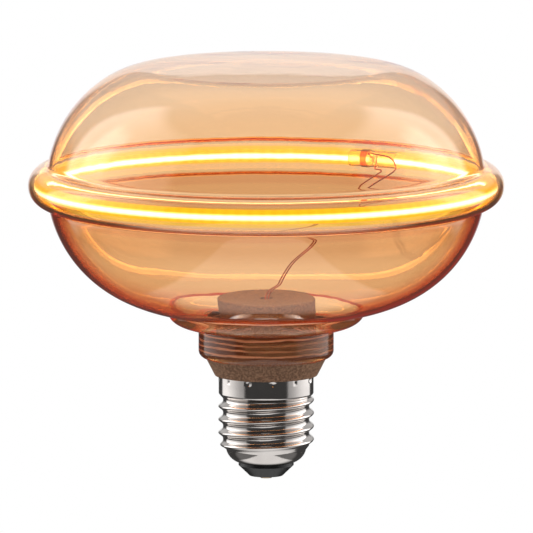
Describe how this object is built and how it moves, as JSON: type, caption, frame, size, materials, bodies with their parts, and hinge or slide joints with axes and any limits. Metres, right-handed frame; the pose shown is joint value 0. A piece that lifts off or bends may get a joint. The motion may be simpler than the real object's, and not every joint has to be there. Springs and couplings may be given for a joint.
{
  "type": "light bulb",
  "caption": "Wide flattened amber glass lamp with a hollow rim bead that holds a ring of glowing filament, on an E27 screw base.",
  "frame": {"origin": "tip of the centre contact at the bottom of the screw base, on the lamp's axis", "axes": "+Z along the lamp's axis from the screw base to the glass; -Y is the front, away from the filament's joint"},
  "size_m": [0.13, 0.13, 0.1142],
  "materials": {
    "amber_glass": "blown glass tinted amber, clear and glossy",
    "phosphor_silicone": "yellow silicone loaded with phosphor, glowing",
    "filament_strip": "thin plated copper strip",
    "led_chip": "glossy chips, glowing",
    "filament_terminal": "tinned tabs",
    "clear_sleeve": "clear yellowish sleeve",
    "amber_band": "glossy orange band",
    "copper_wire": "bare copper",
    "taupe_plastic": "matte taupe with a fine grain",
    "clear_glue": "clear set silicone",
    "circuit_board": "green lacquered laminate",
    "capacitor_film": "dark printed film without print",
    "capacitor_seal": "black rubber",
    "tinned_wire": "tinned copper",
    "ferrite": "dull dark ferrite",
    "enamelled_copper": "enamelled copper winding",
    "black_moulding": "black moulding compound with tinned legs",
    "black_chip": "black glazed blocks with tinned ends",
    "tan_chip": "tan ceramic blocks with tinned ends",
    "resistor_lacquer": "glossy green lacquer",
    "nickel": "bright nickel plating on rolled sheet",
    "black_insulator": "glossy black moulding",
    "contact_brass": "tinned brass, slightly dulled"
  },
  "bodies": {
    "root": {"glass_envelope": "amber_glass", "filament_coat": "phosphor_silicone", "filament_strip": "filament_strip", "led_chips": "led_chip", "start_terminal": "filament_terminal", "end_terminal": "filament_terminal", "joint_sleeve": "clear_sleeve", "joint_band": "amber_band", "start_lead": "copper_wire", "end_lead": "copper_wire", "base_housing": "taupe_plastic", "housing_lid": "taupe_plastic", "neck_adhesive": "clear_glue", "driver_board": "circuit_board", "filter_capacitor": "capacitor_film", "capacitor_seal": "capacitor_seal", "capacitor_legs": "tinned_wire", "inductor_core": "ferrite", "inductor_winding": "enamelled_copper", "bridge_rectifier": "black_moulding", "driver_chip": "black_moulding", "sense_resistors": "black_chip", "ceramic_capacitors": "tan_chip", "fusible_resistor": "resistor_lacquer", "resistor_wire": "tinned_wire", "live_wire": "tinned_wire", "neutral_wire": "tinned_wire", "screw_shell": "nickel", "insulator": "black_insulator", "centre_contact": "contact_brass"}
  },
  "joints": []
}
